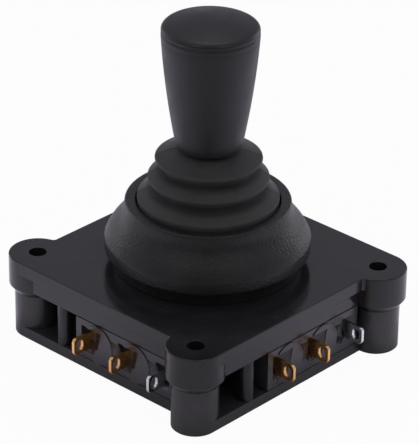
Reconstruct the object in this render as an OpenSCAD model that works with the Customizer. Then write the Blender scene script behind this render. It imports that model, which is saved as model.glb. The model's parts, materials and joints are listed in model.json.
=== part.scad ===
// Panel joystick with four snap-action switches, one on each side of a square housing.
// The lever tilts in a gimbal ring at the cover's top face. A disc on its lower end presses
// the plunger of the switch that it swings towards, and a coil spring brings it back upright.
// Millimetres. Origin at the centre of the housing's underside, lever along +Z.
// Each side repeats the front one (-Y), turned a quarter turn about Z.

/* [Mounting] */
// Distance between neighbouring mounting holes
hole_pitch = 36; // [35:0.5:44]
// Radius of a mounting hole, a close clearance hole for M2.5
hole_r = 1.35; // [1.1:0.05:1.8]

/* [Housing] */
// Radius of a corner post
post_r = 3.5; // [3.1:0.1:4.2]
// Thickness of the housing floor
floor_t = 1.85; // [1.4:0.05:3]
// Bevel round the foot of the housing
foot_bevel = 0.12; // [0.1:0.02:0.4]
// Radius of the post's spigot inside the cover's ear
spigot_r = 2.5; // [2.2:0.1:2.8]

/* [Cover] */
// Thickness of the top plate
plate_t = 2.1; // [1.8:0.1:3]
// Height of the skirt below the plate
skirt_h = 2.85; // [2:0.05:5]
// Thickness of the skirt wall
skirt_t = 1.5; // [1:0.1:2]
// Wall that an ear adds round its post
ear_wall = 0.86; // [0.6:0.02:1.2]
// Height of the taper at the bottom of an ear
ear_taper = 1.15; // [0.8:0.05:1.6]
// How far an ear reaches below the top of the switches
ear_drop = 1.05; // [0.8:0.05:1.3]
// Radius of the fillet where a plate edge meets an ear
neck_r = 0.5; // [0.4:0.1:1.2]
// Distance from an ear's bottom edge out to the post
ear_lip = 0.05; // [0.03:0.01:0.1]
// Radius of the round pegs that hold cover and housing together
peg_r = 1.15; // [0.8:0.05:1.3]
// Distance of a peg from the middle of its side
peg_place = 11.5; // [11:0.1:11.8]

/* [Switch] */
// Length of a switch
switch_l = 19.8; // [19:0.1:20]
// Thickness of a switch
switch_t = 6.4; // [6:0.1:7]
// Depth of a switch without its terminals
switch_d = 10.2; // [9.8:0.1:10.4]
// Distance from the plunger to the middle of the switch
plunger_offset = 1.9; // [1.5:0.1:2.1]
// Thickness of the switch's lid
lid_t = 1.4; // [1:0.1:1.8]
// Distance between the switch's two mounting holes
switch_hole_pitch = 9.5; // [9:0.1:10]
// Radius of those holes
switch_hole_r = 1.2; // [1.1:0.05:1.3]
// Distance of those holes from the terminal face
switch_hole_in = 3; // [2.4:0.1:3.4]
// Radius of the plunger
plunger_r = 0.9; // [0.7:0.05:1.1]
// How far the free plunger stands out of the switch
plunger_out = 1.3; // [1.1:0.05:1.6]
// How far the lever presses the plunger
press = 0.8; // [0.5:0.05:0.9]

/* [Terminals] */
// Height of a solder tab
tab_h = 2.8; // [2.4:0.1:3]
// Thickness of a solder tab
tab_t = 0.5; // [0.4:0.05:0.7]
// Length of a solder tab outside the switch
tab_out = 3.05; // [2.5:0.05:4]
// Length of a solder tab inside the switch
tab_in = 4.2; // [3:0.1:5]
// Radius of a tab's outer corners
tab_corner = 0.7; // [0.3:0.05:1]
// Width of the tab's eye
eye_w = 1.3; // [1:0.05:1.6]
// Height of the tab's eye
eye_h = 1.8; // [1.6:0.05:2]
// Distance from one tab to the next
tab_pitch = 7.6; // [7.2:0.1:7.8]
// Distance from the plunger out to the nearest tab
tab_place = 2; // [1.8:0.1:2.2]

/* [Bezel] */
// How far the bezel's foot stands out from the gaiter
bezel_flare = 3.75; // [3.5:0.05:4.2]
// How far the bezel's belt stands out from its foot
bezel_belt = 1.07; // [0.8:0.01:1.3]
// Height of the bezel ring
bezel_h = 10.3; // [10:0.1:12]
// How far the bezel's rim stands out from the gaiter
rim_w = 1.79; // [1.6:0.01:2.1]
// Wall of the bezel
bezel_wall = 1.3; // [1.1:0.05:1.5]

/* [Gaiter] */
// Wall of the rubber gaiter
gaiter_wall = 0.7; // [0.6:0.05:0.9]
// Radius of the gaiter where it comes out of the bezel
gaiter_r = 10.55; // [10.3:0.05:10.7]
// Radius of the gaiter's upper ring
ring_r = 7.96; // [7.6:0.02:8.4]
// How much further out the lower ring stands
ring_step = 1.06; // [0.8:0.02:1.4]
// Height from one ring to the next
ring_pitch = 3.1; // [2.9:0.05:3.4]
// Height of the upper ring above the cover
ring_top = 17.1; // [16.9:0.05:17.6]

/* [Knob] */
// Height of the knob's lower edge above the cover
knob_base = 19.1; // [19:0.05:20]
// Height of the knob without its dome
knob_h = 18.8; // [16:0.1:24]
// Radius of the knob's lower edge
knob_foot_r = 4.95; // [4.8:0.05:5.4]
// Largest radius of the knob
knob_r = 7.19; // [6.6:0.01:8]
// How far the knob's flank swells, as a share of its taper
knob_bulge = 0.48; // [0:0.02:0.8]
// Height of the dome on top of the knob
dome_h = 1.5; // [1:0.1:2.5]

/* [Lever] */
// Tilt of the lever to each side, in degrees
tilt = 15; // [10:0.5:16]
// Radius of the steel shaft
shaft_r = 2; // [1.8:0.05:2.1]
// Radius of the gimbal's pins
pin_r = 0.8; // [0.6:0.05:0.9]
// Outer radius of the gimbal ring
gimbal_r = 6; // [5.6:0.1:6.4]
// Height of the gimbal ring
gimbal_h = 3; // [2.6:0.1:3.2]
// Wall of the gimbal ring
gimbal_wall = 1.8; // [1.4:0.1:2]
// Wall of the collar that carries the gimbal
collar_wall = 2; // [1.6:0.1:2.2]
// Distance of the hub's lower face above the housing floor
hub_lift = 1.85; // [1.8:0.05:2.2]
// Thickness of the hub's disc
hub_t = 3.1; // [2.9:0.1:3.4]
// Gap that the hub keeps to a pressed plunger
hub_gap = 0.1; // [0.05:0.01:0.15]

/* [Spring] */
// Radius of the spring's wire
wire_r = 0.38; // [0.3:0.02:0.45]
// Radius of the spring, to the middle of its wire
spring_r = 4.6; // [4.5:0.05:4.8]
// Length of the fitted spring
spring_l = 8; // [7.5:0.1:8.4]
// Working turns of the spring
spring_turns = 4; // [3:0.5:5]

/* [Hidden] */
SIDES = ["front", "right", "back", "left"];
$fn = 72;

slip = 0.05;      // clearance of a part that slides or turns
snug = 0.02;      // clearance of a part that is pressed in
loose = 0.3;      // clearance of a soft part
cut = 1;          // how far a cutter runs past the face it cuts

// Housing: a side lies on the axis of the post at its right end, and touches the one at its left end
side_half = (post_r + sqrt(hole_pitch * hole_pitch - post_r * post_r)) / 2;
post_x = side_half - post_r;
switch_top = floor_t + switch_t;
post_top = switch_top - ear_drop;
plate_z = switch_top + skirt_h;
body_h = plate_z + plate_t;
ear_r = post_r + ear_wall;
plate_half = post_x + ear_r;
ear_top_t = 1.6;
stake_r = 0.45 * peg_r;
stake_head_r = 0.72 * peg_r;
stake_head_t = 0.3 * floor_t;

// Switch, in the front side's own frame: X along the side, Y from the outside in, Z up
switch_x = plunger_offset;
switch_mid = floor_t + switch_t / 2;
case_t = switch_t - lid_t;
plunger_l = plunger_out + 3;
plunger_tip = side_half - switch_d - plunger_out;
recess_d = 1;
recess_w = 1.3;
recess_low = switch_mid - tab_h / 2 - 0.45;
recess_top = switch_mid + tab_h / 2 + 0.75;
land_r = switch_t / 2 - 0.1;
land_x = 2;
land_t = 0.15;
tab_places = [tab_place - tab_pitch, tab_place, tab_place + tab_pitch];

// Lever
pivot_z = body_h;
gimbal_gap = norm([gimbal_r, gimbal_h / 2]) - gimbal_r + loose;
collar_r = gimbal_r + gimbal_gap;
collar_top = pivot_z + gimbal_r * sin(tilt) + gimbal_h / 2 * cos(tilt) + loose;
hub_z = floor_t + hub_lift;
arm = pivot_z - switch_mid;
hub_r = (plunger_tip + press - hub_gap - arm * sin(tilt)) / cos(tilt);
hub_boss_r = shaft_r + 1;
hub_boss_h = 1;
hub_bevel = 0.6;
shoulder_z = hub_z + hub_t + hub_boss_h;
spindle_r = 0.75 * shaft_r;
screw_r = 0.5 * shaft_r;
screw_head_r = 1.9;
screw_head_t = 1.2;
screw_l = 4;
seat_t = 0.7;
seat_lip = 0.7;
seat_lip_h = 0.8;
seat_in = 0.2;
diagonal_tilt = acos(cos(tilt) * cos(tilt));
seat_hole_r = (collar_top + seat_t - pivot_z) * tan(diagonal_tilt)
            + shaft_r / cos(diagonal_tilt) + 0.5 * loose;
spring_z = collar_top + seat_t;
cap_z = spring_z + spring_l;
cap_t = 0.8;
cap_boss_h = 0.9;
clip_z = cap_z + cap_t;
clip_t = 0.5;
clip_w = 1.5;
clip_r = shaft_r + clip_w;
clip_eye_r = 0.45;
groove_r = 0.8 * shaft_r;

// Bezel and gaiter
bezel_foot_r = gaiter_r + bezel_flare;
bezel_r = bezel_foot_r + bezel_belt;
bezel_rim_r = gaiter_r + rim_w;
bezel_bore_r = gaiter_r + 0.18;
register_h = 1.6;
register_t = 0.85;
register_r = bezel_foot_r - bezel_wall - 0.1;
gaiter_flange_r = register_r - register_t - slip;
gaiter_flange_t = 1.15;
neck_out_r = shaft_r + 1.6;
neck_in_r = shaft_r + loose;
neck_l = 2.3;

// Knob
insert_r = shaft_r + 1;
insert_l = 10.5;
recess_l = neck_l + 0.5;
insert_z = body_h + knob_base + recess_l + 0.6;
shaft_top = insert_z + insert_l;

function arc(x, z, r, a, b, n = 6) =
  [for (i = [0:n]) let (t = a + (b - a) * i / n) [x + r * cos(t), z + r * sin(t)]];
function flip(list) = [for (i = [len(list) - 1:-1:0]) list[i]];

// Copies what stands on the front side to all four sides
module each_side() {
  for (k = [0:3]) rotate(90 * k) children();
}

// Turns what stands on the front side to side k
module on_side(k) {
  rotate(90 * k) children();
}

// Where the front side's right post stands
module at_post() {
  translate([post_x, -side_half, 0]) children();
}

module tube(r_out, r_in, h) {
  difference() {
    cylinder(r = r_out, h = h);
    translate([0, 0, -cut]) cylinder(r = r_in, h = h + 2 * cut);
  }
}

module base_housing() {
  color([0.09, 0.09, 0.1]) difference() {
    union() {
      hull() {
        linear_extrude(0.01) square(2 * (side_half - foot_bevel), center = true);
        translate([0, 0, foot_bevel]) linear_extrude(floor_t - foot_bevel)
          square(2 * side_half, center = true);
      }
      each_side() {
        at_post() {
          cylinder(r1 = post_r - foot_bevel, r2 = post_r, h = foot_bevel);
          cylinder_at(post_r, foot_bevel, post_top);
          cylinder(r = spigot_r, h = body_h - ear_top_t);
        }
        for (side = [-1, 1]) {
          translate([switch_x + side * switch_hole_pitch / 2, switch_hole_in - side_half, 0])
            cylinder(r = switch_hole_r - slip, h = switch_top - slip);
        }
      }
    }
    each_side() {
      at_post() translate([0, 0, -cut]) cylinder(r = hole_r, h = body_h + 2 * cut);
      translate([-peg_place, peg_r - side_half, -cut]) {
        cylinder(r = stake_r, h = floor_t + 2 * cut);
        cylinder(r = stake_head_r, h = cut + stake_head_t);
      }
    }
  }
}

// Outline of the plate with its four ears and the small fillets beside them
module cover_outline() {
  drop = plate_half - side_half;
  fillet_y = -plate_half - neck_r;
  fillet_x = -sqrt(pow(ear_r + neck_r, 2) - pow(drop + neck_r, 2));
  reach = ear_r / (ear_r + neck_r);
  difference() {
    square(2 * plate_half, center = true);
    each_side() translate([post_x, -side_half - ear_r]) square([2 * ear_r, ear_r]);
  }
  each_side() {
    translate([post_x, -side_half]) circle(r = ear_r);
    difference() {
      translate([post_x, -side_half])
        polygon([[0, 0], [fillet_x, -drop], [reach * fillet_x, -reach * (drop + neck_r)]]);
      translate([post_x + fillet_x, fillet_y]) circle(r = neck_r);
    }
  }
}

module top_cover() {
  color([0.11, 0.11, 0.12]) difference() {
    union() {
      translate([0, 0, plate_z]) linear_extrude(plate_t) cover_outline();
      translate([0, 0, switch_top]) linear_extrude(skirt_h) difference() {
        square(2 * side_half, center = true);
        square(2 * (side_half - skirt_t), center = true);
      }
      translate([0, 0, body_h]) tube(register_r, register_r - register_t, register_h);
      cylinder_at(collar_r + collar_wall, plate_z, collar_top);
      each_side() {
        at_post() {
          translate([0, 0, post_top]) cylinder(r1 = post_r + ear_lip, r2 = ear_r, h = ear_taper);
          cylinder_at(ear_r, post_top + ear_taper, body_h);
        }
        translate([-peg_place, peg_r - side_half, 0]) {
          cylinder_at(peg_r, floor_t, plate_z);
          cylinder_at(stake_r - snug, stake_head_t, floor_t);
          cylinder_at(stake_head_r - snug, 0.1, stake_head_t);
        }
      }
    }
    cylinder_at(collar_r, 0, collar_top + cut);
    each_side() translate([switch_x - switch_l / 2, -2 * side_half, 0])
      cube([switch_l, side_half + switch_d, switch_top]);
    each_side() at_post() {
      cylinder_at(hole_r, 0, body_h + cut);
      cylinder_at(spigot_r + slip, 0, body_h - ear_top_t);
    }
    translate([0, 0, pivot_z]) rotate([0, 90, 0])
      cylinder(r = pin_r + slip, h = 3 * collar_r, center = true);
  }
}

// A cylinder on the Z axis from height a to height b
module cylinder_at(r, a, b) {
  translate([0, 0, a]) cylinder(r = r, h = b - a);
}

// Flared ring: foot, belt, rounded shoulder, sloping flank and an upright rim, hollow below
module bezel_ring() {
  belt_z = 2.9;
  shoulder = 1.6;
  flank_z = bezel_h - 1.7;
  slope = 48;
  outer = concat(
    [[bezel_foot_r, 0], [bezel_r - 0.12, 2.1], [bezel_r, belt_z]],
    arc(bezel_r - shoulder, belt_z + 0.9, shoulder, 0, 90 - slope),
    [[bezel_rim_r + 0.16, flank_z]],
    arc(bezel_rim_r - 0.3, bezel_h - 0.5, 0.3, 0, 80),
    [[bezel_bore_r + 0.15, bezel_h], [bezel_bore_r, bezel_h - 0.2]]
  );
  tube_r = gaiter_flange_r - 0.1;
  hollow = [
    [bezel_foot_r - bezel_wall, -cut], [bezel_foot_r - bezel_wall, 0],
    [bezel_r - bezel_wall, 2.9], [bezel_r - bezel_wall, 3.6],
    [tube_r + 0.3, flank_z - 1.6 * bezel_wall], [tube_r, flank_z - 2.4 * bezel_wall], [tube_r, -cut]
  ];
  color([0.13, 0.13, 0.13]) translate([0, 0, body_h]) rotate_extrude() difference() {
    polygon(concat([[bezel_bore_r, 0]], outer));
    polygon(hollow);
    translate([0, -cut]) square([tube_r + 0.5, gaiter_flange_t + snug + cut]);
  }
}

// Rubber boot: foot flange, upright wall inside the bezel, two rings and a neck under the knob
module gaiter() {
  lip = 0.3;
  low_tip = [ring_r + ring_step, ring_top - ring_pitch];
  tips = [low_tip, [ring_r, ring_top]];
  folds = [for (tip = tips) tip - [1.82, 0.85]];
  shoulder_h = bezel_h + 0.85;
  outer = concat(
    [[gaiter_flange_r, 0], [gaiter_flange_r, gaiter_flange_t]],
    [[gaiter_r, gaiter_flange_t], [gaiter_r, shoulder_h - 0.25], [gaiter_r - 0.25, shoulder_h]],
    [for (i = [0, 1]) each concat(
      [folds[i] + [1.65, -1.2], folds[i] + [0.7, -1.05], folds[i] + [0.15, -0.6], folds[i]],
      arc(tips[i][0] - lip, tips[i][1], lip, -70, 60, 4)
    )],
    [[knob_foot_r - 0.3, ring_top + 1.4], [neck_out_r, ring_top + 1.8], [neck_out_r, knob_base + neck_l]]
  );
  inner = concat(
    [[neck_in_r, knob_base + neck_l], [neck_in_r, ring_top + 0.9], [knob_foot_r - 0.3, ring_top + 0.6]],
    [for (i = [1, 0]) each [
      [tips[i][0] - 2 * gaiter_wall, tips[i][1] - 0.35], folds[i] - [gaiter_wall, 0],
      folds[i] + [-0.6, -1], folds[i] + [0.4, -1.05 - gaiter_wall]
    ]],
    [[gaiter_r - 1.4 * gaiter_wall, shoulder_h - gaiter_wall], [gaiter_r - gaiter_wall, shoulder_h - 1.4]],
    [[gaiter_r - gaiter_wall, 0]]
  );
  color([0.16, 0.16, 0.16]) translate([0, 0, body_h]) rotate_extrude() polygon(concat(outer, inner));
}

// Conical grip, slightly hollow in its flank, with a fine groove below its dome
module knob() {
  top = knob_base + knob_h;
  edge = 0.7;
  bevel = 0.3;
  flank_h = knob_h - edge - bevel;
  flank = [for (i = [0:8]) let (f = i / 8, swell = f + knob_bulge * f * (1 - f))
    [knob_foot_r + (knob_r - knob_foot_r) * swell, knob_base + bevel + flank_h * f]];
  dome_r = knob_r - 0.15;
  ball = (dome_r * dome_r + dome_h * dome_h) / (2 * dome_h);
  dome_a = asin((dome_r - 0.5) / ball);
  color([0.12, 0.12, 0.13]) difference() {
    translate([0, 0, body_h]) rotate_extrude() polygon(concat(
      [[0, knob_base], [knob_foot_r - bevel, knob_base]],
      flank,
      [[knob_r - 0.05, top - 0.25], [knob_r - 0.22, top], [knob_r - 0.1, top + 0.15]],
      arc(0, top + dome_h - ball, ball, 90 - dome_a, 90)
    ));
    cylinder_at(neck_out_r + loose, body_h + knob_base - cut, body_h + knob_base + recess_l);
    cylinder_at(insert_r + snug, body_h + knob_base, shaft_top);
  }
}

// Brass bush with three barbs, moulded into the grip
module knob_insert() {
  barb = insert_l / 3;
  color([0.8, 0.65, 0.3]) difference() {
    translate([0, 0, insert_z]) for (i = [0:2]) translate([0, 0, i * barb]) {
      cylinder(r = insert_r, h = 0.6 * barb);
      cylinder(r = insert_r - 0.3, h = barb);
    }
    cylinder_at(shaft_r + snug, insert_z - cut, shaft_top + cut);
  }
}

module lever_shaft() {
  color([0.75, 0.76, 0.78]) difference() {
    union() {
      cylinder_at(spindle_r, hub_z + screw_head_t + 0.1, shoulder_z);
      cylinder_at(shaft_r, shoulder_z, shaft_top - 0.5);
      translate([0, 0, shaft_top - 0.5]) cylinder(r1 = shaft_r, r2 = shaft_r - 0.4, h = 0.4);
    }
    cylinder_at(screw_r, 0, hub_z + screw_head_t + screw_l + 0.6);
    translate([0, 0, pivot_z]) rotate([90, 0, 0])
      cylinder(r = pin_r + snug, h = 4 * shaft_r, center = true);
    translate([0, 0, clip_z]) tube(shaft_r + cut, groove_r, clip_t + snug);
  }
}

module gimbal_ring() {
  color([0.6, 0.6, 0.62]) translate([0, 0, pivot_z - gimbal_h / 2]) difference() {
    tube(gimbal_r, gimbal_r - gimbal_wall, gimbal_h);
    translate([0, 0, gimbal_h / 2]) {
      rotate([0, 90, 0]) cylinder(r = pin_r + snug, h = 3 * gimbal_r, center = true);
      rotate([90, 0, 0]) cylinder(r = pin_r + slip, h = 3 * gimbal_r, center = true);
    }
  }
}

// The two pins that carry the gimbal ring in the cover's collar
module trunnion_pins() {
  inner = gimbal_r - gimbal_wall + 0.2;
  outer = collar_r + collar_wall - 0.3;
  color([0.75, 0.76, 0.78]) for (side = [0, 180]) rotate(side)
    translate([inner, 0, pivot_z]) rotate([0, 90, 0]) cylinder(r = pin_r, h = outer - inner);
}

module cross_pin() {
  color([0.75, 0.76, 0.78]) translate([0, 0, pivot_z]) rotate([90, 0, 0])
    cylinder(r = pin_r, h = 2 * (gimbal_r - 0.15), center = true);
}

// Disc whose side leans so that it stands upright when the lever is fully tilted
module actuator_hub() {
  low_r = hub_r - (switch_mid - hub_z - hub_bevel) * tan(tilt);
  high_r = hub_r + (hub_z + hub_t - switch_mid) * tan(tilt);
  color([0.85, 0.85, 0.8]) difference() {
    union() {
      translate([0, 0, hub_z]) cylinder(r1 = low_r - 1.2 * hub_bevel, r2 = low_r, h = hub_bevel);
      translate([0, 0, hub_z + hub_bevel]) cylinder(r1 = low_r, r2 = high_r, h = hub_t - hub_bevel);
      cylinder_at(hub_boss_r, hub_z, shoulder_z);
    }
    cylinder_at(spindle_r + snug, hub_z - cut, shoulder_z + cut);
    cylinder_at(screw_head_r + 0.1, hub_z - cut, hub_z + screw_head_t + 0.1);
    for (a = [0:60:300]) rotate(a) translate([0.66 * hub_r, 0, hub_z + 1])
      cylinder(r = 0.17 * hub_r, h = hub_t);
  }
}

module hub_screw() {
  color([0.7, 0.7, 0.72]) difference() {
    union() {
      cylinder_at(screw_head_r, hub_z + 0.1, hub_z + screw_head_t + 0.1);
      cylinder_at(screw_r - snug, hub_z + screw_head_t, hub_z + screw_head_t + screw_l);
    }
    for (a = [0, 90]) rotate(a) translate([-1, -0.2, hub_z - cut]) cube([2, 0.4, cut + 0.7]);
  }
}

// Coil with one closed turn at each end
module return_spring() {
  steps = 16;
  sides = 8;
  closed = 2.2 * wire_r;
  rise = spring_l - 2 * wire_r - 2 * snug - 2 * closed;
  total = spring_turns + 2;
  function height(t) = spring_z + wire_r + snug
    + closed * (min(t, 1) + max(t - total + 1, 0)) + rise / spring_turns * max(min(t - 1, spring_turns), 0);
  count = total * steps;
  points = [for (i = [0:count]) for (j = [0:sides - 1])
    let (t = i / steps, a = 360 * j / sides, r = spring_r + wire_r * cos(a))
    [r * cos(360 * t), r * sin(360 * t), height(t) + wire_r * sin(a)]];
  walls = [for (i = [0:count - 1]) for (j = [0:sides - 1])
    let (k = (j + 1) % sides) each [[i * sides + j, i * sides + k, (i + 1) * sides + j],
    [i * sides + k, (i + 1) * sides + k, (i + 1) * sides + j]]];
  ends = [[for (j = [sides - 1:-1:0]) j], [for (j = [0:sides - 1]) count * sides + j]];
  color([0.7, 0.7, 0.72]) polyhedron(points, concat(walls, ends));
}

// Washer on the collar, with a lip that centres the spring
module spring_seat() {
  color([0.7, 0.7, 0.72]) {
    translate([0, 0, collar_top]) tube(collar_r + collar_wall - seat_in, seat_hole_r, seat_t);
    translate([0, 0, spring_z])
      tube(spring_r + wire_r + seat_in + seat_lip, spring_r + wire_r + seat_in, seat_lip_h);
  }
}

module spring_cap() {
  color([0.7, 0.7, 0.72]) difference() {
    union() {
      cylinder_at(spring_r + wire_r + 0.15, cap_z, cap_z + cap_t);
      cylinder_at(spring_r - wire_r - 0.25, cap_z - cap_boss_h, cap_z);
    }
    cylinder_at(shaft_r + snug, cap_z - cap_boss_h - cut, cap_z + cap_t + cut);
  }
}

// Open clip that snaps into the shaft's groove
module retaining_clip() {
  color([0.6, 0.6, 0.62]) translate([0, 0, clip_z]) difference() {
    tube(clip_r, groove_r + snug, clip_t);
    translate([0, -0.8 * groove_r, -cut]) cube([clip_r + cut, 1.6 * groove_r, clip_t + 2 * cut]);
    for (a = [120, 240]) rotate(a) translate([groove_r + 0.8 * clip_eye_r, 0, -cut])
      cylinder(r = clip_eye_r, h = clip_t + 2 * cut);
  }
}

// Recess that a tab comes out of, sloping up to the face below the tab and to its right
module tab_recess(x, right) {
  deep_low = switch_mid - 0.35;
  translate([x, -side_half, 0]) rotate([90, 0, 0]) hull() {
    linear_extrude(land_t + slip) polygon([
      [-recess_w, recess_low], [recess_w, recess_low], [0.8 * right, switch_mid - 0.6],
      [right, recess_top], [-recess_w, recess_top]
    ]);
    translate([-recess_w, deep_low, -recess_d]) cube([recess_w + 0.8, recess_top - deep_low, 0.01]);
  }
}

// Holes, plunger bore, tab slots and recesses that case and lid share
module switch_cuts() {
  for (side = [-1, 1])
    translate([switch_x + side * switch_hole_pitch / 2, switch_hole_in - side_half, 0])
      cylinder(r = switch_hole_r, h = body_h);
  translate([0, -plunger_tip, switch_mid]) rotate([90, 0, 0])
    cylinder(r = plunger_r + slip, h = plunger_l + press + loose);
  for (x = tab_places) {
    translate([x - tab_t / 2, -side_half - cut, switch_mid - tab_h / 2]) cube([tab_t, tab_in + cut, tab_h]);
    tab_recess(x, x == tab_places[2] ? 1.7 : 2.8);
  }
}

// Slice of the switch from height a to height b, with its share of the two round lands on its face
module switch_block(a, b) {
  translate([switch_x - switch_l / 2, -side_half, a]) cube([switch_l, switch_d, b - a]);
  intersection() {
    translate([-side_half, -side_half - cut, a]) cube([2 * side_half, 2 * cut, b - a]);
    union() for (i = [0, 1]) translate([tab_places[i] + land_x, 0.5 - side_half, switch_mid])
      rotate([90, 0, 0]) cylinder(r = land_r, h = 0.5 + land_t);
  }
}

module switch_case() {
  color([0.14, 0.14, 0.15]) difference() {
    switch_block(floor_t, floor_t + case_t);
    switch_cuts();
  }
}

module switch_lid() {
  color([0.16, 0.16, 0.17]) difference() {
    switch_block(floor_t + case_t, switch_top);
    switch_cuts();
  }
}

module plunger() {
  color([0.75, 0.2, 0.15]) translate([0, -plunger_tip, switch_mid]) rotate([90, 0, 0]) rotate_extrude()
    polygon(concat(
      [[0, plunger_l], [0, 0]],
      [for (i = [1:5]) let (a = 18 * i) [plunger_r * sin(a), 0.6 * plunger_r * (1 - cos(a))]],
      [[plunger_r, plunger_l]]
    ));
}

// Solder tab with rounded corners and an eye, from inside the switch outwards
module terminal(x) {
  end = tab_in + tab_out;
  translate([x + tab_t / 2, -side_half + tab_in, switch_mid]) rotate([90, 0, -90])
    linear_extrude(tab_t) difference() {
    union() {
      translate([0, -tab_h / 2]) square([end - tab_corner, tab_h]);
      translate([0, tab_corner - tab_h / 2]) square([end, tab_h - 2 * tab_corner]);
      for (side = [-1, 1])
        translate([end - tab_corner, side * (tab_h / 2 - tab_corner)]) circle(r = tab_corner);
    }
    for (side = [-1, 1])
      translate([end - 0.55 - eye_w / 2, side * (eye_h - eye_w) / 2]) circle(r = eye_w / 2);
    translate([end - 0.55 - eye_w, (eye_w - eye_h) / 2]) square([eye_w, eye_h - eye_w]);
  }
}

module make_terminal() {
  color([0.85, 0.65, 0.2]) terminal(tab_places[1]);
}

module break_terminal() {
  color([0.85, 0.65, 0.2]) terminal(tab_places[0]);
}

module common_terminal() {
  color([0.85, 0.86, 0.88]) terminal(tab_places[2]);
}

base_housing();
top_cover();
bezel_ring();
gaiter();
knob();
knob_insert();
lever_shaft();
gimbal_ring();
trunnion_pins();
cross_pin();
actuator_hub();
hub_screw();
return_spring();
spring_seat();
spring_cap();
retaining_clip();
for (k = [0:3]) on_side(k) {
  switch_case();
  switch_lid();
  plunger();
  make_terminal();
  break_terminal();
  common_terminal();
}
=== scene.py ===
# %% [markdown]
# # A panel joystick, dressed around its working model
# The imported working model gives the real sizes, the bodies and the joints. This script leaves that
# frame where it is and makes what the eye sees: turned plastic and rubber, moulded covers with
# their edges rounded, gold and silver tabs, and a plain pale studio to look at it in.

# %% Load the working model
import json
import math
import bpy
from mathutils import Matrix, Vector


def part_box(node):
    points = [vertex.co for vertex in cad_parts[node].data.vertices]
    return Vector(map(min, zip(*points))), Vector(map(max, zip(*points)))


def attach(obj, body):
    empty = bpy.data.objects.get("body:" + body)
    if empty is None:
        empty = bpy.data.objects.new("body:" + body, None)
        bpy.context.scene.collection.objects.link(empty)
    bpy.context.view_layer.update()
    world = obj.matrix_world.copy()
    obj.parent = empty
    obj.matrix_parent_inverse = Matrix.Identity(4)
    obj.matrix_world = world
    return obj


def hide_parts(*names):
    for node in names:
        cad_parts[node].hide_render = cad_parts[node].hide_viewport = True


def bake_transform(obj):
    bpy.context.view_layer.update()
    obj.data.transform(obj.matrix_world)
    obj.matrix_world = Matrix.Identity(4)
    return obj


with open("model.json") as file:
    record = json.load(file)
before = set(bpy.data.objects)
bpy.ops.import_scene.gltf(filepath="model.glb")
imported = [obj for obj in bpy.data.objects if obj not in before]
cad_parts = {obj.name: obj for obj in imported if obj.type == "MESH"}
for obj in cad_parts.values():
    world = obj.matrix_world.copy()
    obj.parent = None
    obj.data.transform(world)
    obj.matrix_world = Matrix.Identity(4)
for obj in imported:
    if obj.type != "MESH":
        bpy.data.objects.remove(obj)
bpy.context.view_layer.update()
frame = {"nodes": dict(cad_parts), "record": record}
MM = 0.001
PLATE_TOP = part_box("bezel_ring")[0].z / MM
print("nodes", len(frame["nodes"]), "plate top at", round(PLATE_TOP, 2), "mm")

# %% [markdown]
# ## Camera
# A long lens far away keeps the square housing almost free of perspective. The camera looks down
# on one corner, so two sides show their switches. Its place is given in millimetres from the
# middle of the housing's underside, and it is turned a little about its own axis.

# %% Camera
CAMERA_AT = Vector((265.88, -287.90, 229.15)) * MM
LOOK_ALONG = Vector((-0.59793, 0.64799, -0.47182))
LEAN = math.radians(0.85)
FOCAL_LENGTH, NEAREST = 243, 0.01
side = LOOK_ALONG.cross(Vector((0, 0, 1))).normalized()
up = side.cross(LOOK_ALONG).normalized()
camera_right = side * math.cos(LEAN) + up * math.sin(LEAN)
camera_up = -side * math.sin(LEAN) + up * math.cos(LEAN)
lens = bpy.data.cameras.new("camera")
lens.lens = FOCAL_LENGTH
lens.clip_start = NEAREST
camera = bpy.data.objects.new("camera", lens)
bpy.context.scene.collection.objects.link(camera)
turn = Matrix((camera_right, camera_up, -LOOK_ALONG)).transposed()
camera.matrix_world = Matrix.Translation(CAMERA_AT) @ turn.to_4x4()
bpy.context.scene.camera = camera
bpy.context.scene.view_settings.view_transform = "Standard"
print("camera", round(CAMERA_AT.length / MM), "mm from the origin")

# %% [markdown]
# ## Studio
# Black plastic shows little of its own colour. What the eye reads is what it mirrors, so the
# studio is built for its reflections: bright to the left and to the right, less so behind, dim
# towards the camera. The world could be a plain grey, but then every facet would look alike.
# Here its strength follows how far a direction leans towards the camera.

# %% Node helpers
def new_nodes(owner):
    """Turns on an owner's node tree, empties it and returns it."""
    owner.use_nodes = True
    owner.node_tree.nodes.clear()
    return owner.node_tree


def add(tree, kind, inputs=None, **settings):
    """Adds a node, sets its properties, and sets or links its inputs."""
    made = tree.nodes.new(kind)
    for key, value in settings.items():
        setattr(made, key, value)
    for key, value in (inputs or {}).items():
        if isinstance(value, bpy.types.NodeSocket):
            tree.links.new(value, made.inputs[key])
        else:
            made.inputs[key].default_value = value
    return made


def maths(tree, operation, first, second, **settings):
    return add(tree, "ShaderNodeMath", {0: first, 1: second}, operation=operation, **settings).outputs[0]


def ramp(tree, value, start, end, first=0.0, last=1.0, kind="SMOOTHSTEP"):
    """Maps a value from one range to another and stops at its ends."""
    ranges = {"Value": value, "From Min": start, "From Max": end, "To Min": first, "To Max": last}
    return add(tree, "ShaderNodeMapRange", ranges, interpolation_type=kind).outputs[0]


def blended(tree, factor, first, second, blend="MIX"):
    """Mixes two colours. Each input is a socket or a plain value."""
    return add(tree, "ShaderNodeMix", {0: factor, 6: first, 7: second},
               data_type="RGBA", blend_type=blend).outputs[2]


def grey(level):
    return (level, level, level, 1)


# %% World
CAMERA_BEARING = 42.7
TOWARDS_CAMERA = (0.678, -0.735, 0)
LILAC = (0.895, 0.855, 1.0, 1)
AT_BACK, AT_SIDES, IN_FRONT, OVERHEAD = 0.4, 0.58, 0.16, 0.32


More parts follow.
